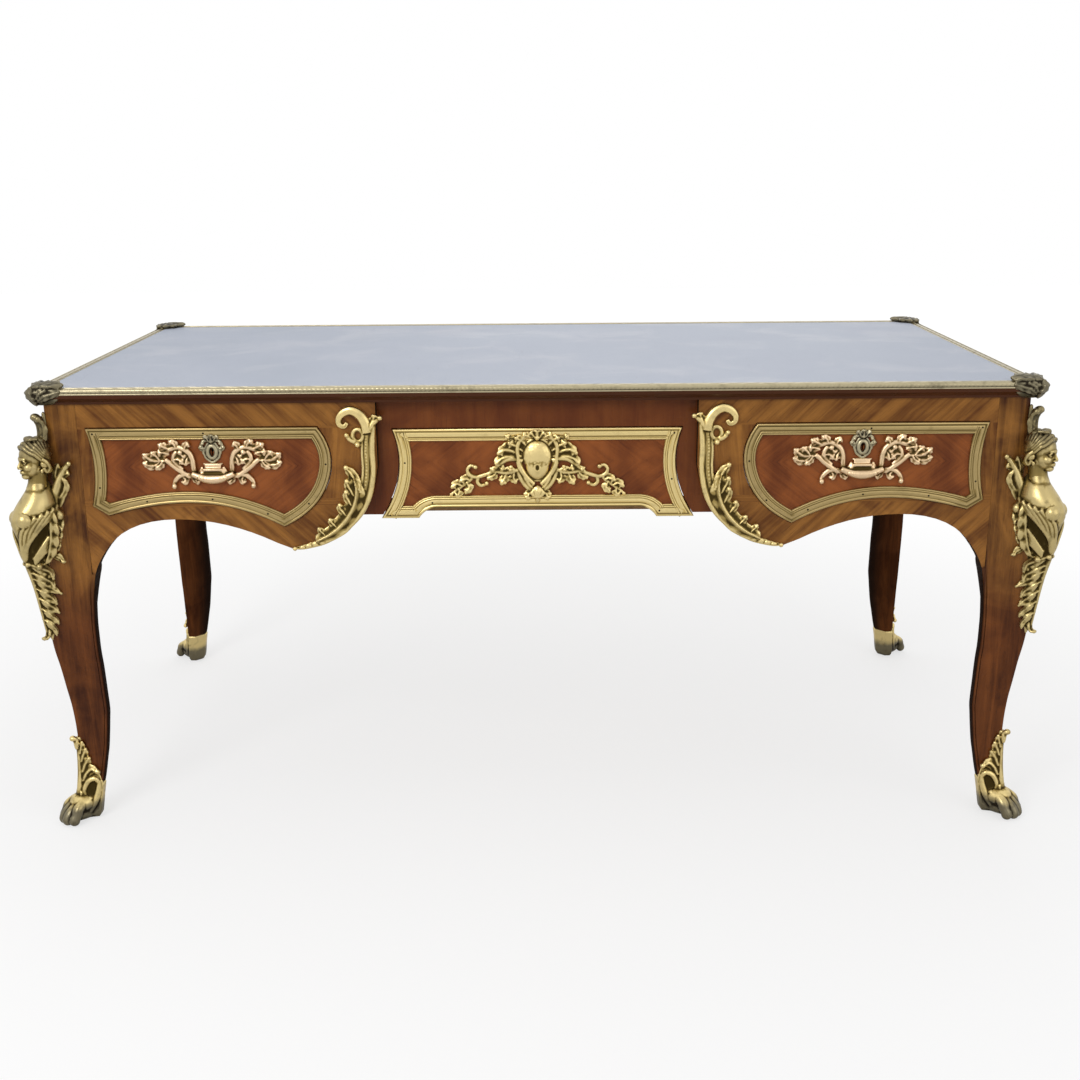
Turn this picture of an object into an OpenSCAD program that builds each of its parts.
// Writing table with three frieze drawers, cabriole legs and gilt bronze mounts.
// The origin is on the floor under the middle of the top, +X to the right, the drawers face -Y.

/* [Top] */
// Length of the top
top_w = 1700; // [1560:5:1840]
// Depth of the top
top_d = 830; // [760:5:900]
// Height of the writing surface
height = 800; // [770:1:830]
// Thickness of the wooden top with its moulded edge
top_t = 28; // [25:1:34]
// Width of the bronze rim on the top face
rim_w = 18; // [14:0.5:24]
// Height of the bronze rim on the edge
rim_h = 11; // [9:0.5:13]
// Thickness of the rim's outer wall
rim_wall = 4; // [3:0.5:6]
// Thickness of the rim's top flange
rim_flange = 3; // [2:0.5:4]
// Thickness of the leather
leather_t = 1.6; // [1:0.1:2.2]
// Reach of a corner clasp along each edge
clasp_len = 62; // [50:1:80]
// Thickness of a corner clasp outside and above the rim
clasp_t = 5; // [3:0.5:7]
// Drop of a corner clasp down the edge
clasp_drop = 24; // [20:1:25]

/* [Case] */
// Overhang of the top past the case
overhang = 14; // [10:1:20]
// Thickness of the side aprons, which stand proud of the middle by as much
apron_t = 21; // [18:1:26]
// Thickness of the panel round the middle drawer
panel_t = 22; // [18:1:26]
// Half width of the recessed middle
centre_half = 274; // [255:1:300]
// Lap of the middle panel behind the side aprons
centre_lap = 66; // [50:1:70]
// Thickness of the boards between the drawers
partition_t = 18; // [14:1:22]
// Width of a leg's post at the case
post_w = 54; // [48:1:62]
// Height of the side aprons at the top of their arch
apron_h = 203.5; // [198:0.5:215]
// Height of the aprons at their lowest point
tip_h = 259; // [245:1:270]
// Depth of the tenons into the legs
tenon_l = 15; // [10:1:22]
// Thickness of the tenons
tenon_t = 9; // [7:0.5:11]

/* [Drawers] */
// Strip of apron above the side drawers
front_drop = 42; // [38:1:48]
// Strip of panel above the middle drawer
centre_drop = 51; // [46:1:58]
// Gap round a drawer front
front_gap = 1.2; // [0.8:0.1:2]
// Length of the drawer boxes behind their fronts
box_len = 520; // [440:5:560]
// Thickness of the drawer sides and backs
side_t = 10; // [8:0.5:12]
// Thickness of the drawer bottoms
bottom_t = 6; // [5:0.5:8]
// Depth of the groove that holds a drawer bottom
groove = 4; // [3:0.5:6]
// Height of the groove above the drawer's lower edge
groove_up = 6; // [4:0.5:10]
// Play of a drawer on its runners
play = 0.3; // [0.2:0.05:0.5]
// Play of a drawer between its guides
guide_play = 0.5; // [0.3:0.1:1]
// Travel of a lock bolt
bolt_travel = 8; // [6:0.5:9]

/* [Bronze] */
// Height of the corner busts, from the crest to the tip
bust_h = 420; // [400:5:440]
// Height of the paw shoes at the leaf on the arris
shoe_h = 158; // [140:1:175]
// Width of the frames on the side drawers
frame_w = 20.5; // [17:0.5:23]
// Width of the frame on the middle drawer
centre_frame_w = 22; // [18:0.5:24]
// Thickness of the frames
frame_t = 5.5; // [4:0.5:7]
// Thickness of the bronze round the feet
shoe_t = 4.5; // [3.5:0.5:6]
// Gap between a casting and the curved wood under it
seat_gap = 0.3; // [0.2:0.05:0.4]
// Depth of the relief of the flat mounts
relief = 7; // [5:0.5:9]
// Width of a glued or mitred joint line
glue = 0.1; // [0.05:0.05:0.2]

/* [Hidden] */

// Colours
veneer = [0.46, 0.25, 0.12];
figured = [0.42, 0.16, 0.09];
leg_wood = [0.34, 0.15, 0.09];
dark_wood = [0.16, 0.08, 0.05];
oak = [0.62, 0.46, 0.28];
gilt = [0.78, 0.62, 0.29];
old_bronze = [0.42, 0.36, 0.22];
brass = [0.72, 0.58, 0.30];
steel = [0.55, 0.55, 0.56];
hide = [0.68, 0.71, 0.76];

// Levels and planes of the case
half_w = top_w / 2;
half_d = top_d / 2;
case_top = height - top_t;
case_x = half_w - overhang;
case_y = half_d - overhang;
post_x = case_x - post_w;
post_y = case_y - post_w;
recess_y = case_y - apron_t;
inner_y = recess_y - panel_t;
end_in_x = case_x - apron_t;
tenon_y = case_y - apron_t / 2 - tenon_t / 2;
end_tenon_x = case_x - apron_t / 2 - tenon_t / 2;
root = 1;
crown_z = case_top - apron_h;
tip_z = case_top - tip_h;
spring_h = 302;
spring_z = case_top - spring_h;
ear = 5.5;
lap_x = centre_half + centre_lap;
tenon_z = crown_z + 40;
tenon_h = case_top - 30 - tenon_z;
centre_low = case_top - apron_h + 0.5;

// Side drawer front, in distances from the case and from its top
front_out = post_x - 14;
front_in = centre_half + 80;
front_span = front_out - front_in;
front_top = case_top - front_drop;
arch_up = 28.5;
front_arch_z = crown_z + arch_up;

// Middle drawer front
centre_top = case_top - centre_drop;
centre_w = centre_half - 25;
centre_foot_w = centre_half - 2;
centre_foot_z = crown_z - 5.5;
centre_base_z = crown_z + 12.5;

// Drawer boxes
box_up = 4;
side_box_z = front_arch_z + box_up;
side_box_top = front_top - 8;
side_box_in = front_in + 31;
side_box_out = front_out - 23;
centre_box_z = centre_base_z + 2;
centre_box_top = centre_top - 7;
centre_box_half = centre_half - 46;
back_low = 4;
rail_d = 40;
runner_w = 22;
runner_h = 12;
guide_h = 11;
guide_t = 10;
stop = [10, 14, 16];
rail_h = 27;
part_in = centre_half + 1;
part_out = part_in + partition_t;

// Locks and keyholes
mount_x = (front_out + front_in) / 2 - 6;
lock_w = 46;
lock_h = 34;
lock_t = 10;
bolt_w = 16;
bolt_h = 21;
bolt_t = 5;
bolt_play = 0.3;
bolt_in = 4.5;
mortise_spare = 2;
key_r = 2.6;
key_slot_w = 2.6;
key_slot_h = 9;
side_key_z = front_top - 39;
centre_key_z = centre_top - 68;

// Curves
function bend(p, q, r, n) =
    [for (i = [1:n]) let (t = i / n) (1 - t) * (1 - t) * p + 2 * t * (1 - t) * q + t * t * r];
function mirrored(pts) = [for (i = [len(pts) - 1:-1:0]) [-pts[i][0], pts[i][1]]];

// The outline of a side drawer front, as [distance from the middle, height]
front_low = [front_out, case_top - 178];
front_heel = [front_out - 27, case_top - 195];
front_mid = [front_out - 0.5 * front_span, front_arch_z - 1];
front_tip = [front_in + 85, case_top - 217];
front_belly = [front_in, case_top - 117];
front_head = [front_in + 20, front_top];
side_outline = concat(
    [[front_out, front_top]],
    bend([front_out, front_top], [front_out - 19, case_top - 110], front_low, 6),
    [front_heel],
    bend(front_heel, [front_out - 0.31 * front_span, front_arch_z + 9], front_mid, 7),
    bend(front_mid, [front_mid[0] - 60, front_arch_z - 8.5], front_tip, 6),
    bend(front_tip, [front_in + 12, case_top - 184], front_belly, 7),
    bend(front_belly, [front_in - 7, case_top - 78], front_head, 4)
);

// The outline of the middle drawer front
centre_side = bend([centre_w, centre_top], [centre_w - 29, (centre_top + centre_foot_z) / 2],
    [centre_foot_w, centre_foot_z], 8);
centre_foot = bend([centre_foot_w - 65, centre_foot_z], [centre_foot_w - 76, centre_base_z - 1],
    [centre_foot_w - 95, centre_base_z], 4);
centre_half_outline = concat(
    [[centre_w, centre_top]],
    centre_side,
    [[centre_foot_w - 65, centre_foot_z]],
    centre_foot
);
centre_outline = concat(centre_half_outline, mirrored(centre_half_outline));

// The outline of a side apron: its inner edge, its tip and the arch that springs from the leg
tip_x = centre_half + 151;
crown_x = post_x - 158;
shoulder = [post_x - 32, spring_z + 48];
edge_knee = [centre_half + 68, case_top - 227];
apron_outline = concat(
    [[post_x, case_top], [centre_half, case_top], [centre_half, case_top - 112]],
    bend([centre_half, case_top - 112], [centre_half + 6, case_top - 180], edge_knee, 7),
    bend(edge_knee, [centre_half + 101, case_top - 252], [tip_x, tip_z], 5),
    bend([tip_x + 7, tip_z], [tip_x + 105, crown_z], [crown_x, crown_z], 9),
    bend([crown_x, crown_z], [post_x - 70, crown_z], shoulder, 7),
    bend(shoulder, [post_x - 10, spring_z + 19], [post_x - ear, spring_z], 4),
    [[post_x, spring_z]]
);

// The outline of an end apron, from the back leg to the front leg
end_crown_z = crown_z - 6;
end_half = concat(
    [[post_y, case_top], [post_y, spring_z], [post_y - ear, spring_z]],
    bend([post_y - ear, spring_z], [post_y - 10, spring_z + 19], [post_y - 32, spring_z + 48], 4),
    bend([post_y - 32, spring_z + 48], [post_y - 66, end_crown_z], [post_y - 130, end_crown_z], 7),
    bend([post_y - 130, end_crown_z], [post_y - 220, end_crown_z], [70, crown_z - 26], 6),
    bend([70, crown_z - 26], [40, crown_z - 34], [0, crown_z - 34], 4)
);
end_outline = concat(end_half, mirrored(end_half));
end_frame_half = concat(
    [[post_y - 16, front_top]],
    bend([post_y - 16, front_top], [post_y - 35, case_top - 110], [post_y - 16, front_low[1]], 6),
    [[post_y - 43, front_heel[1]]],
    bend([post_y - 43, front_heel[1]], [post_y - 120, front_arch_z], [post_y - 190, front_arch_z - 5], 6),
    bend([post_y - 190, front_arch_z - 5], [60, front_arch_z - 26], [0, front_arch_z - 28], 6)
);
end_frame_outline = concat(end_frame_half, mirrored(end_frame_half));

// Legs: insets of the outer arris, of the faces' inner edges and of the inner corner from the
// case corner or from the post's inner corner, in shares of the post width, each at a level
// that runs from 0 at the floor to 1 at the spring line and to 2 at the top of the case
arris_line = [
    [0.03, -0.259], [0.064, -0.213], [0.128, -0.148], [0.213, -0.083], [0.298, -0.065],
    [0.383, -0.078], [0.468, -0.12], [0.553, -0.204], [0.638, -0.287], [0.723, -0.389],
    [0.851, -0.481], [0.936, -0.537], [1.033, -0.556], [1.166, -0.519], [1.3, -0.407],
    [1.43, -0.259], [1.563, -0.111], [1.728, 0], [2, 0]
];
face_line = [
    [0.03, -0.241], [0.128, -0.13], [0.213, -0.065], [0.383, -0.059], [0.553, -0.176],
    [0.638, -0.241], [0.723, -0.315], [0.787, -0.315], [0.851, -0.241], [0.904, -0.13],
    [0.957, -0.037], [1, 0], [2, 0]
];
inner_line = [
    [0.03, -0.556], [0.081, -0.519], [0.121, -0.463], [0.16, -0.389], [0.202, -0.333],
    [0.245, -0.287], [0.283, -0.241], [0.33, -0.204], [0.404, -0.148], [0.451, -0.111],
    [0.532, -0.13], [0.617, -0.148], [0.702, -0.185], [0.787, -0.185], [0.866, -0.148],
    [0.904, -0.111], [0.943, -0.056], [0.972, 0.009], [1, ear / post_w]
];
low_levels = [
    0.03, 0.064, 0.121, 0.17, 0.223, 0.283, 0.34, 0.404, 0.468, 0.532, 0.596, 0.66, 0.723,
    0.787, 0.851, 0.904, 0.947, 0.979, 1
];
post_levels = [1, 1.1, 1.2, 1.3, 1.4, 1.5, 1.6, 1.728, 2];
post_in = overhang + post_w;
function leg_z(u) = u <= 1 ? u * spring_z : spring_z + (u - 1) * spring_h;
function arris_in(u) = overhang + lookup(u, arris_line) * post_w;
function face_in(u) = overhang + lookup(u, face_line) * post_w;
function inner_in(u) = post_in + lookup(u, inner_line) * post_w;

// A corner of a ring as three points that round it by r
function unit(v) = v / norm(v);
function rounded(a, p, b, r) = [
    p + r * unit(a - p),
    p + 0.3 * r * (unit(a - p) + unit(b - p)),
    p + r * unit(b - p)
];
function raised(pts, z) = [for (p = pts) [p[0], p[1], z]];
function leg_ring(u, inner, grow, r) =
    let (
        o = half_w - arris_in(u) + grow,
        oy = half_d - arris_in(u) + grow,
        f = half_w - face_in(u) + grow,
        fy = half_d - face_in(u) + grow,
        i = half_w - inner - grow,
        iy = half_d - inner - grow,
        back = [i, iy],
        end_edge = [f, iy],
        arris = [o, oy],
        side_edge = [i, fy]
    )
    concat(
        rounded(side_edge, back, end_edge, 3),
        rounded(back, end_edge, arris, r),
        rounded(end_edge, arris, side_edge, 5),
        rounded(arris, side_edge, back, r)
    );

module sweep(rings) {
    n = len(rings[0]);
    last = len(rings) - 1;
    sides = [for (i = [0:last - 1], j = [0:n - 1]) let (a = i * n + j, b = i * n + (j + 1) % n)
        each [[a, a + n, b + n], [a, b + n, b]]];
    low = [for (j = [1:n - 2]) [0, j, j + 1]];
    high = [for (j = [1:n - 2]) [last * n, last * n + j + 1, last * n + j]];
    polyhedron(points = [for (ring = rings) each ring], faces = concat(sides, low, high));
}

// All the space above a level
module above(z) {
    translate([-top_w, -top_w, z])
        cube([2 * top_w, 2 * top_w, height]);
}

module corner(sx, sy) {
    mirror([sx < 0 ? 1 : 0, 0, 0])
        mirror([0, sy < 0 ? 1 : 0, 0])
            children();
}

module upright(y) {
    translate([0, y, 0])
        rotate([90, 0, 0])
            children();
}

// A leg's wood up to a level, or the wood grown by a gap or a shell
module leg_form(grow = 0, high = 2) {
    sweep(concat(
        [for (u = low_levels) if (u <= high) raised(leg_ring(u, inner_in(u), grow, 4), leg_z(u))],
        [for (u = post_levels) if (high > 1) raised(leg_ring(u, post_in, grow, 0.5), leg_z(u))]
    ));
}

// A tenon, which starts inside its board by root, or its mortise, in the corner +X +Y
module tenon(x, y, along_x, root = 0) {
    translate([along_x ? x - root : x, along_x ? y : y - root, tenon_z])
        cube(along_x
            ? [tenon_l + root, tenon_t, tenon_h]
            : [tenon_t, tenon_l + root, tenon_h]);
}

module leg(sx, sy) {
    color(leg_wood)
        corner(sx, sy)
            difference() {
                leg_form();
                tenon(post_x, tenon_y, true);
                tenon(end_tenon_x, post_y, false);
            }
}

// Top
module slab(inset, z0, z1) {
    translate([inset - half_w, inset - half_d, z0])
        cube([top_w - 2 * inset, top_d - 2 * inset, z1 - z0]);
}

screw_y = 220;
screw_r = 2;
screw_head_r = 4.2;
screw_head_h = 3;
screw_bite = 12;
block = [18, 60, 20];
screw_xy = [
    [end_in_x - block[0] / 2, 0],
    [part_out + block[0] / 2, screw_y],
    [part_out + block[0] / 2, -screw_y]
];
hole_play = 0.1;

module each_screw() {
    for (p = screw_xy, s = [-1, 1])
        translate([s * p[0], p[1], 0])
            children();
}

module top_panel() {
    sill = 4;
    neck = 9;
    fascia_z = height - rim_h - 6;
    color(dark_wood)
        difference() {
            union() {
                slab(neck, case_top, case_top + sill);
                hull() {
                    slab(neck, case_top + sill - 0.01, case_top + sill);
                    slab(1.5, fascia_z - 0.01, fascia_z);
                }
                slab(0, fascia_z, height - rim_h);
                slab(rim_wall, height - rim_h, height - rim_flange);
            }
            each_screw()
                translate([0, 0, case_top - 1])
                    cylinder(h = screw_bite + 2, r = screw_r + hole_play, $fn = 24);
        }
}

module top_leather() {
    color(hide)
        slab(rim_w + seat_gap, height - rim_flange, height - rim_flange + leather_t);
}

module rim_length(long, across) {
    intersection() {
        translate([-long, -across, 0])
            rotate([90, 0, 90])
                linear_extrude(2 * long)
                    polygon([
                        [0, height - rim_h], [rim_wall, height - rim_h],
                        [rim_wall, height - rim_flange], [rim_w, height - rim_flange],
                        [rim_w, height - 1], [rim_w - 1.5, height - 0.2], [rim_wall, height],
                        [1, height - 1.5], [0, height - 4]
                    ]);
        linear_extrude(height + 1)
            polygon([
                [glue - long, -across], [long - glue, -across],
                [long - rim_w - glue, rim_w - across], [rim_w + glue - long, rim_w - across]
            ]);
    }
}

module top_rim() {
    color(old_bronze)
        for (turn = [0, 180]) {
            rotate(turn)
                rim_length(half_w, half_d);
            rotate(turn + 90)
                rim_length(half_d, half_w);
        }
}

module clasp_plan() {
    lobe = clasp_len / 4;
    round = clasp_len * 0.4;
    edge = lobe * 0.4;
    corner_r = lobe * 0.7;
    intersection() {
        union() {
            translate([half_w - clasp_len * 0.36, half_d - clasp_len * 0.36])
                circle(round, $fn = 24);
            for (s = [0, 1], k = [1:3])
                translate(s == 0
                    ? [half_w + clasp_t - k * lobe, half_d - edge]
                    : [half_w - edge, half_d + clasp_t - k * lobe])
                    circle(k == 3 ? round * 0.77 : round * 0.97, $fn = 20);
        }
        translate([half_w - 3 * clasp_len, half_d - 3 * clasp_len])
            offset(r = corner_r, $fn = 24)
                square(3 * clasp_len + clasp_t - corner_r);
    }
}

module corner_clasps() {
    color(old_bronze)
        for (sx = [-1, 1], sy = [-1, 1])
            corner(sx, sy)
                difference() {
                    translate([0, 0, height - clasp_drop])
                        linear_extrude(clasp_drop + clasp_t)
                            clasp_plan();
                    slab(0, case_top, height);
                }
}

// Case
module apron_with_tenon() {
    linear_extrude(apron_t)
        polygon(apron_outline);
    translate([0, 0, tenon_y - recess_y])
        mirror([0, 1, 0])
            rotate([90, 0, 0])
                tenon(post_x, 0, true, root);
}

module bolt_mortise(x, top, y) {
    deep = bolt_travel + mortise_spare;
    translate([x - bolt_w / 2 - 1, y - bolt_t / 2 - 1, top])
        cube([bolt_w + 2, bolt_t + 2, deep]);
}

module side_front_plan(grow) {
    offset(delta = grow)
        polygon(side_outline);
}

bolt_side_y = lock_t - bolt_in;

module front_apron(s) {
    color(veneer)
        mirror([s < 0 ? 1 : 0, 0, 0])
            difference() {
                upright(-recess_y)
                    apron_with_tenon();
                upright(-recess_y + 1)
                    linear_extrude(apron_t + 2)
                        side_front_plan(front_gap);
                bolt_mortise(mount_x, front_top - 1, -recess_y - bolt_side_y);
            }
}

module back_apron(s) {
    color(veneer)
        mirror([s < 0 ? 1 : 0, 0, 0])
            upright(case_y)
                apron_with_tenon();
}

module centre_plan() {
    translate([-lap_x, centre_low])
        square([2 * lap_x, case_top - centre_low]);
}

module front_centre_panel() {
    color(veneer)
        difference() {
            upright(-inner_y)
                linear_extrude(panel_t)
                    centre_plan();
            upright(-inner_y + 1)
                linear_extrude(panel_t + 2) {
                    offset(delta = front_gap)
                        polygon(centre_outline);
                    translate([65 - centre_foot_w, centre_low - 1])
                        square([2 * (centre_foot_w - 65), centre_base_z - centre_low]);
                }
            bolt_mortise(0, centre_top - 1, -inner_y - bolt_side_y);
        }
}

module back_centre_panel() {
    color(veneer)
        upright(recess_y)
            linear_extrude(panel_t)
                centre_plan();
}

module end_apron(s) {
    color(veneer)
        mirror([s < 0 ? 1 : 0, 0, 0]) {
            translate([end_in_x, 0, 0])
                rotate([90, 0, 90])
                    linear_extrude(apron_t)
                        polygon(end_outline);
            for (m = [0, 1])
                mirror([0, m, 0])
                    tenon(end_tenon_x, post_y, false, root);
        }
}

module partition(s) {
    color(oak)
        mirror([s < 0 ? 1 : 0, 0, 0])
            translate([part_in, -inner_y, centre_low])
                cube([partition_t, 2 * inner_y, case_top - centre_low]);
}

module drawer_rails() {
    front = play - recess_y;
    step = play - inner_y;
    color(oak) {
        for (s = [-1, 1])
            mirror([s < 0 ? 1 : 0, 0, 0])
                translate([0, 0, side_box_z - play - rail_h])
                    linear_extrude(rail_h)
                        polygon([
                            [lap_x + play, front], [post_x, front], [post_x, front + rail_d],
                            [part_out, front + rail_d], [part_out, step], [lap_x + play, step]
                        ]);
        translate([-part_in, play - inner_y, centre_low])
            cube([2 * part_in, rail_d, centre_box_z - play - centre_low]);
    }
}

// A runner with its guide on the side away from the drawer, along +Y from y0 to y1
module runner(edge, out, z, y0, y1) {
    far = edge + out * (guide_play + guide_t);
    near = edge - out * (runner_w - guide_t);
    translate([0, y1, 0])
        rotate([90, 0, 0])
            linear_extrude(y1 - y0)
                polygon([
                    [near, z - play - runner_h], [far, z - play - runner_h],
                    [far, z + guide_h], [edge + out * guide_play, z + guide_h],
                    [edge + out * guide_play, z - play], [near, z - play]
                ]);
}

module drawer_runners() {
    side_y0 = play - recess_y + rail_d;
    centre_y0 = play - inner_y + rail_d;
    color(oak)
        for (s = [-1, 1])
            mirror([s < 0 ? 1 : 0, 0, 0]) {
                runner(side_box_in, -1, side_box_z, side_y0, recess_y);
                runner(side_box_out, 1, side_box_z, side_y0, recess_y);
                runner(centre_box_half, 1, centre_box_z, centre_y0, inner_y);
            }
}

module stop_block(x, z, y) {
    translate([x - stop[0] / 2, y + play, z - play])
        cube(stop);
}

module glue_blocks() {
    color(oak) {
        for (s = [-1, 1])
            mirror([s < 0 ? 1 : 0, 0, 0]) {
                stop_block(side_box_in + stop[0] * 0.6, side_box_z, box_len - recess_y);
                stop_block(side_box_out - stop[0] * 0.6, side_box_z, box_len - recess_y);
                stop_block(centre_box_half - stop[0] * 0.6, centre_box_z, box_len - inner_y);
            }
        difference() {
            each_screw()
                translate([-block[0] / 2, -block[1] / 2, case_top - block[2]])
                    cube(block);
            each_screw()
                translate([0, 0, case_top - block[2] - 1])
                    cylinder(h = block[2] + 2, r = screw_r + hole_play, $fn = 24);
        }
    }
}

module top_screws() {
    color(steel)
        each_screw() {
            translate([0, 0, case_top - block[2] - screw_head_h])
                cylinder(h = screw_head_h, r = screw_head_r, $fn = 24);
            translate([0, 0, case_top - block[2] - 0.5])
                cylinder(h = block[2] + screw_bite, r = screw_r, $fn = 24);
        }
}

// Drawers: each is drawn at its place, and the left one is the right one mirrored
module lock_block(x, top, y, spare = 0) {
    translate([x - lock_w / 2, y - lock_t, top - lock_h])
        cube([lock_w, lock_t + spare, lock_h + spare]);
}

module keyhole(x, z, y) {
    translate([x, y, z]) {
        rotate([90, 0, 0])
            cylinder(h = 60, r = key_r, center = true, $fn = 24);
        translate([-key_slot_w / 2, -30, -key_slot_h])
            cube([key_slot_w, 60, key_slot_h]);
    }
}

module side_drawer_front() {
    difference() {
        upright(-recess_y)
            linear_extrude(apron_t)
                side_front_plan(0);
        lock_block(mount_x, front_top, -recess_y, 1);
        keyhole(mount_x, side_key_z, -case_y);
    }
}

module box_walls(x0, x1, z0, z1, y0) {
    groove_z = z0 + groove_up;
    for (x = [x0, x1 - side_t])
        difference() {
            translate([x, y0, z0])
                cube([side_t, box_len, z1 - z0]);
            translate([x == x0 ? x0 + side_t - groove : x - 1, y0 - 1, groove_z])
                cube([groove + 1, box_len + 2, bottom_t]);
        }
    translate([x0 + side_t + glue, y0 + box_len - side_t, groove_z + bottom_t])
        cube([x1 - x0 - 2 * side_t - 2 * glue, side_t, z1 - groove_z - bottom_t - back_low]);
}

module box_bottom(x0, x1, z0, y0) {
    reach = side_t - groove;
    translate([x0 + reach, y0, z0 + groove_up])
        cube([x1 - x0 - 2 * reach, box_len, bottom_t]);
}

module lock_body(x, top, y) {
    difference() {
        lock_block(x, top, y);
        translate([x - bolt_w / 2 - bolt_play, y - bolt_in - bolt_t / 2 - bolt_play,
                top - bolt_h - 3 * bolt_play])
            cube([bolt_w + 2 * bolt_play, bolt_t + 2 * bolt_play, bolt_h + 4 * bolt_play]);
    }
}

module lock_bolt(x, top, y) {
    translate([x - bolt_w / 2, y - bolt_in - bolt_t / 2, top - bolt_h - bolt_play])
        cube([bolt_w, bolt_t, bolt_h]);
}

// A frame: a ring inside an outline, with a raised edge outside and a lower one inside
module frame_ring(width) {
    module ring(from, to, thick) {
        linear_extrude(thick)
            difference() {
                offset(delta = -from)
                    children();
                offset(delta = -to)
                    children();
            }
    }
    ring(0, width, frame_t * 0.6)
        children();
    ring(width * 0.08, width * 0.34, frame_t)
        children();
    ring(width * 0.74, width * 0.92, frame_t * 0.85)
        children();
}

module side_frame() {
    upright(-case_y)
        frame_ring(frame_w)
            polygon(side_outline);
}

module centre_frame() {
    upright(-recess_y)
        frame_ring(centre_frame_w)
            polygon(centre_outline);
}

// A tapering strand in relief through points [x, z, radius], on a plane facing -Y
module strand(pts, thick, fn = 6) {
    for (i = [0:len(pts) - 2])
        hull()
            for (p = [pts[i], pts[i + 1]])
                translate([p[0], 0, p[1]])
                    rotate([90, 0, 0])
                        cylinder(h = thick, r = p[2], $fn = fn);
}

// One half of a pull: branch, volute, flower spray and curled foot
module pull_half() {
    foot = [[18, -20, 6], [44, -13, 5.5], [60, -17, 5], [78, -34, 4]];
    branch = [[44, -13, 5.5], [42, 4, 5.5], [54, 19, 6], [70, 21, 6], [80, 8, 6], [70, -1, 5]];
    spray = [[80, 10, 5], [96, 5, 7], [118, 12, 3.5]];
    strand(foot, relief);
    strand(branch, relief + 2);
    strand(spray, relief);
    strand([[68, 22, 5], [94, 26, 3.5]], relief);
}

module pull_form() {
    for (s = [-1, 1])
        mirror([s < 0 ? 1 : 0, 0, 0])
            pull_half();
    strand([[-22, -17, 5], [0, -24, 6], [22, -17, 5]], relief + 9);
    strand([[-21, -4, 4], [21, -4, 4]], relief + 4);
    strand([[-15, 1.5, 3.5], [15, 1.5, 3.5]], relief + 2);
    strand([[0, -9, 10], [0, -16, 10]], relief + 2);
}

pull_z = front_top - 68;

module side_pull() {
    translate([mount_x, -case_y, pull_z])
        pull_form();
}

module side_escutcheon() {
    tall = frame_w + 3;
    difference() {
        translate([mount_x, -case_y, side_key_z]) {
            strand([[0, 5, 12], [0, -12, 6], [0, -18, 3]], 2.6, 16);
            strand([[0, 4, 10], [0, -4, 8]], 4, 16);
            strand([[-15, 6, 4], [15, 6, 4]], 2.6, 12);
        }
        keyhole(mount_x, side_key_z, -case_y);
        translate([mount_x - 50, -case_y - 20, front_top - tall + 3])
            cube([100, 40, tall]);
    }
}

// The cartouche of the middle drawer: boss, shell foot, crest and side sprays
module cartouche_form() {
    for (s = [-1, 1])
        mirror([s < 0 ? 1 : 0, 0, 0]) {
            strand([[16, 24, 6], [36, 18, 7], [56, 2, 7], [60, -12, 6]], relief);
            strand([[20, -20, 5], [56, -12, 5], [76, -18, 4], [94, -13, 4], [98, -2, 4]],
                relief - 1);
            strand([[92, -14, 4], [106, -30, 5], [141, -43, 2.5]], relief - 1);
            strand([[12, -30, 4], [16, -50, 5], [8, -60, 5]], relief);
            strand([[14, 30, 4], [22, 43, 4]], relief);
        }
    hull() {
        translate([0, 0, -9])
            rotate([90, 0, 0])
                cylinder(h = relief + 4, r = 22, $fn = 20);
        translate([0, 0, 9])
            rotate([90, 0, 0])
                cylinder(h = relief + 4, r = 24, $fn = 20);
    }
    hull() {
        translate([0, 0, -6])
            rotate([90, 0, 0])
                cylinder(h = relief + 9, r = 14, $fn = 16);
        translate([0, 0, 8])
            rotate([90, 0, 0])
                cylinder(h = relief + 9, r = 15, $fn = 16);
    }
    strand([[0, -28, 12], [0, -48, 10], [0, -68, 5]], relief + 3, 10);
    strand([[0, 30, 9], [0, 44, 6]], relief + 3, 10);
}

cartouche_z = centre_top - 57;

module centre_cartouche() {
    difference() {
        translate([0, -recess_y, cartouche_z])
            cartouche_form();
        upright(-recess_y + 1)
            linear_extrude(frame_t + 1)
                difference() {
                    offset(delta = 1)
                        polygon(centre_outline);
                    offset(delta = -centre_frame_w - 1)
                        polygon(centre_outline);
                }
        keyhole(0, centre_key_z, -recess_y);
    }
}

// The scroll on the inner edge of a side apron: volute, beaded strap, leaves and a tapering tail
module scroll_form() {
    e = centre_half;
    t = case_top;
    strap = [[e + 4, t - 34, 8], [e + 10, t - 70, 9], [e + 11, t - 125, 10], [e + 19, t - 165, 10],
        [e + 38, t - 196, 9], [e + 64, t - 222, 8], [e + 100, t - 245, 6], [e + 148, t - 257, 3.5]];
    volute = [[e + 4, t - 34, 8], [e + 22, t - 22, 8], [e + 58, t - 22, 8], [e + 58, t - 34, 5]];
    strand(strap, relief);
    strand(volute, relief + 1);
    strand([[e + 4, t - 34, 6], [e - 6, t - 31, 4]], relief - 1);
    strand([[e + 44, t - 20, 5], [e + 54, t - 46, 5], [e + 48, t - 64, 5], [e + 38, t - 60, 4]],
        relief - 1);
    strand([[e + 30, t - 186, 10], [e + 44, t - 150, 10], [e + 60, t - 116, 7], [e + 68, t - 108, 4]],
        relief + 1);
    strand([[e + 52, t - 206, 10], [e + 72, t - 170, 8], [e + 84, t - 150, 4]], relief);
    strand([[e + 84, t - 232, 8], [e + 100, t - 212, 5], [e + 110, t - 202, 3]], relief - 1);
}

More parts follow.
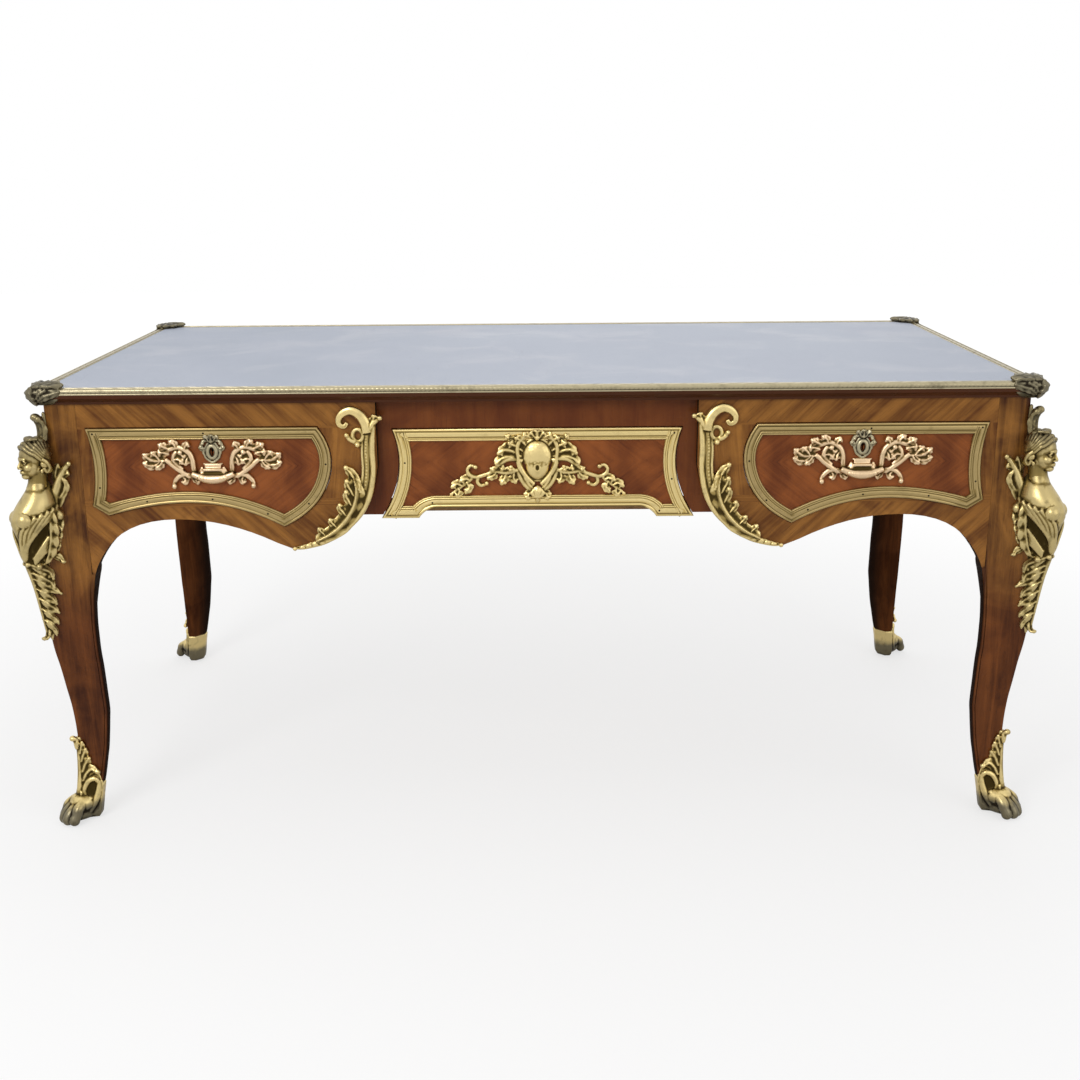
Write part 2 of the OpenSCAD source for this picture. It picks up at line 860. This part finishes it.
module scroll(s, back) {
    color(gilt)
        mirror([s < 0 ? 1 : 0, 0, 0])
            mirror([0, back ? 1 : 0, 0])
                difference() {
                    translate([0, -case_y, 0])
                        scroll_form();
                    above(case_top);
                }
}

// Corner bust, on the diagonal, in hundredths of its height. Sections are [drop from the top of
// the case, middle, half depth, half width]
torso = [
    [100, 3.6, 0.7, 0.5], [95.7, 4, 1.7, 1.4], [81.4, 5.7, 2.9, 3.6], [64.8, 7.4, 4, 6.4],
    [51.4, 9.5, 6, 8.6], [46.2, 10.5, 6.2, 9.5], [41.4, 8.1, 5.2, 9.5], [37.1, 4.8, 3.3, 3.8],
    [32.9, 2.9, 3.3, 3.1], [26, 2.4, 3, 2.9]
];
crest = [[18.6, 1, 3.1, 3.3], [12.4, -2.1, 2.1, 3.6], [1.9, -2.6, 1.2, 1.7]];
part_h = bust_h / 100;

module section(s) {
    translate([s[1] * part_h, 0, case_top - s[0] * part_h])
        scale([s[2] * part_h, s[3] * part_h, 1])
            cylinder(h = 0.5, r = 1, $fn = 12);
}

module stack(sections) {
    for (i = [0:len(sections) - 2])
        hull() {
            section(sections[i]);
            section(sections[i + 1]);
        }
}

// A ball at [middle, side, drop], with its half sizes
module ball(at, size, fn = 10) {
    translate([at[0] * part_h, at[1] * part_h, case_top - at[2] * part_h])
        scale(size * part_h)
            sphere(r = 1, $fn = fn);
}

// A limb of balls [middle, side, drop, radius]
module limb(pts) {
    for (i = [0:len(pts) - 2])
        hull()
            for (p = [pts[i], pts[i + 1]])
                ball([p[0], p[1], p[2]], p[3] * [1, 1, 1], 6);
}

module bust_form() {
    stack(torso);
    stack(crest);
    ball([3.6, 0, 23.6], [4.4, 4.3, 5.6]);
    ball([1.9, 0, 21], [5.6, 6, 6.6]);
    for (s = [-1, 1]) {
        limb([[3, s * 8, 41, 2.9], [-4.6, s * 7.4, 43.5, 2.6], [-8.7, s * 8.1, 35, 2.1],
            [-9.6, s * 8.1, 26, 1.5]]);
        limb([[4.8, s * 7.2, 46, 3.1], [-3.2, s * 7.2, 53, 2.2]]);
        limb([[4.8, s * 5.6, 56, 2.6], [-3.2, s * 6.6, 64.5, 1.8]]);
        limb([[4.4, s * 3.4, 70, 2.1], [0.6, s * 4.6, 77, 1.6]]);
    }
}

module espagnolette(sx, sy) {
    color(gilt)
        corner(sx, sy)
            difference() {
                translate([half_w, half_d, 0])
                    rotate(45)
                        bust_form();
                leg_form(seat_gap);
                above(case_top - seat_gap);
            }
}

// Paw shoe: a collar that rises at the arris, four toes and a flat sole
toe_fan = 25;
toe_reach = 34;
toe_r = 12;
toe_tip_r = 7;
shoe_back = 92;
paw_in = 15;
shoe_level = 0.42;

module toe_ball(out, z, r) {
    translate([out, 0, z])
        sphere(r, $fn = 8);
}

module toes() {
    knuckle = toe_reach - toe_r / 2;
    for (k = [-1.5:1:1.5])
        rotate(45 + k * toe_fan) {
            hull() {
                toe_ball(toe_r, toe_r * 2.2, toe_r);
                toe_ball(knuckle, toe_r * 1.7, toe_r * 0.92);
            }
            hull() {
                toe_ball(knuckle, toe_r * 1.7, toe_r * 0.92);
                toe_ball(toe_reach + toe_r / 4, toe_r * 0.7, toe_tip_r);
            }
        }
}

// The space under the collar's slanted top, which drops from the arris to the inner corner
module under_collar() {
    reach = 2 * shoe_h;
    translate([half_w, half_d, shoe_h])
        rotate([0, 0, 45])
            rotate([0, atan(-shoe_back / (2 * (post_w - shoe_t - shoe_t))), 0])
                translate([-reach, -reach, -2 * reach])
                    cube([2 * reach, 2 * reach, 2 * reach]);
}

module sabot(sx, sy) {
    color(gilt)
        corner(sx, sy)
            difference() {
                union() {
                    intersection() {
                        leg_form(shoe_t + seat_gap, shoe_level);
                        under_collar();
                    }
                    translate([half_w - paw_in, half_d - paw_in, 0])
                        toes();
                    hull() {
                        translate([half_w - paw_in * 1.45, half_d - paw_in * 1.45, 0])
                            cylinder(h = 3, r = toe_r * 1.4, $fn = 12);
                        translate([half_w - paw_in * 1.33, half_d - paw_in * 1.33, toe_r * 2])
                            cylinder(h = 3, r = toe_r * 2.1, $fn = 12);
                    }
                }
                leg_form(seat_gap);
                mirror([0, 0, 1])
                    above(0);
            }
}

// The side away from the drawers has the same frames and mounts on solid aprons
module turned() {
    rotate(180)
        children();
}

module back_frames() {
    color(gilt)
        turned() {
            for (s = [0, 1])
                mirror([s, 0, 0])
                    side_frame();
            centre_frame();
        }
}

module back_mounts() {
    color(gilt)
        turned() {
            for (s = [0, 1])
                mirror([s, 0, 0]) {
                    side_pull();
                    side_escutcheon();
                }
            centre_cartouche();
        }
}

module end_frames() {
    color(gilt)
        for (s = [0, 1])
            mirror([s, 0, 0])
                translate([case_x, 0, 0])
                    rotate([90, 0, 90])
                        frame_ring(frame_w)
                            polygon(end_frame_outline);
}

module side_drawer(part, s) {
    mirror([s < 0 ? 1 : 0, 0, 0])
        if (part == "front")
            color(figured) side_drawer_front();
        else if (part == "box")
            color(oak) box_walls(side_box_in, side_box_out, side_box_z, side_box_top, -recess_y);
        else if (part == "bottom")
            color(oak) box_bottom(side_box_in, side_box_out, side_box_z, -recess_y);
        else if (part == "frame")
            color(gilt) side_frame();
        else if (part == "pull")
            color(gilt) side_pull();
        else if (part == "escutcheon")
            color(old_bronze) side_escutcheon();
        else if (part == "lock")
            color(brass) lock_body(mount_x, front_top, -recess_y);
        else
            color(brass) lock_bolt(mount_x, front_top, -recess_y);
}

module centre_drawer_front() {
    color(figured)
        difference() {
            upright(-inner_y)
                linear_extrude(panel_t)
                    polygon(centre_outline);
            lock_block(0, centre_top, -inner_y, 1);
            keyhole(0, centre_key_z, -recess_y);
        }
}

module centre_drawer_box() {
    color(oak)
        box_walls(-centre_box_half, centre_box_half, centre_box_z, centre_box_top, -inner_y);
}

module centre_drawer_bottom() {
    color(oak)
        box_bottom(-centre_box_half, centre_box_half, centre_box_z, -inner_y);
}

top_panel();
top_leather();
top_rim();
corner_clasps();
leg(-1, -1);  // leg_front_left
leg(1, -1);  // leg_front_right
leg(-1, 1);  // leg_back_left
leg(1, 1);  // leg_back_right
espagnolette(-1, -1);  // espagnolette_front_left
espagnolette(1, -1);  // espagnolette_front_right
espagnolette(-1, 1);  // espagnolette_back_left
espagnolette(1, 1);  // espagnolette_back_right
sabot(-1, -1);  // sabot_front_left
sabot(1, -1);  // sabot_front_right
sabot(-1, 1);  // sabot_back_left
sabot(1, 1);  // sabot_back_right
front_apron(-1);  // front_apron_left
front_apron(1);  // front_apron_right
front_centre_panel();
back_apron(-1);  // back_apron_left
back_apron(1);  // back_apron_right
back_centre_panel();
end_apron(-1);  // end_apron_left
end_apron(1);  // end_apron_right
partition(-1);  // partition_left
partition(1);  // partition_right
drawer_rails();
drawer_runners();
glue_blocks();
top_screws();
side_drawer("front", -1);  // left_drawer_front
side_drawer("box", -1);  // left_drawer_box
side_drawer("bottom", -1);  // left_drawer_bottom
side_drawer("frame", -1);  // left_drawer_frame
side_drawer("pull", -1);  // left_drawer_pull
side_drawer("escutcheon", -1);  // left_drawer_escutcheon
side_drawer("lock", -1);  // left_drawer_lock
side_drawer("bolt", -1);  // left_drawer_bolt
side_drawer("front", 1);  // right_drawer_front
side_drawer("box", 1);  // right_drawer_box
side_drawer("bottom", 1);  // right_drawer_bottom
side_drawer("frame", 1);  // right_drawer_frame
side_drawer("pull", 1);  // right_drawer_pull
side_drawer("escutcheon", 1);  // right_drawer_escutcheon
side_drawer("lock", 1);  // right_drawer_lock
side_drawer("bolt", 1);  // right_drawer_bolt
centre_drawer_front();
centre_drawer_box();
centre_drawer_bottom();
color(gilt) centre_frame();  // centre_drawer_frame
color(gilt) centre_cartouche();  // centre_drawer_cartouche
color(brass) lock_body(0, centre_top, -inner_y);  // centre_drawer_lock
color(brass) lock_bolt(0, centre_top, -inner_y);  // centre_drawer_bolt
scroll(-1, false);  // scroll_front_left
scroll(1, false);  // scroll_front_right
scroll(-1, true);  // scroll_back_left
scroll(1, true);  // scroll_back_right
back_frames();
back_mounts();
end_frames();
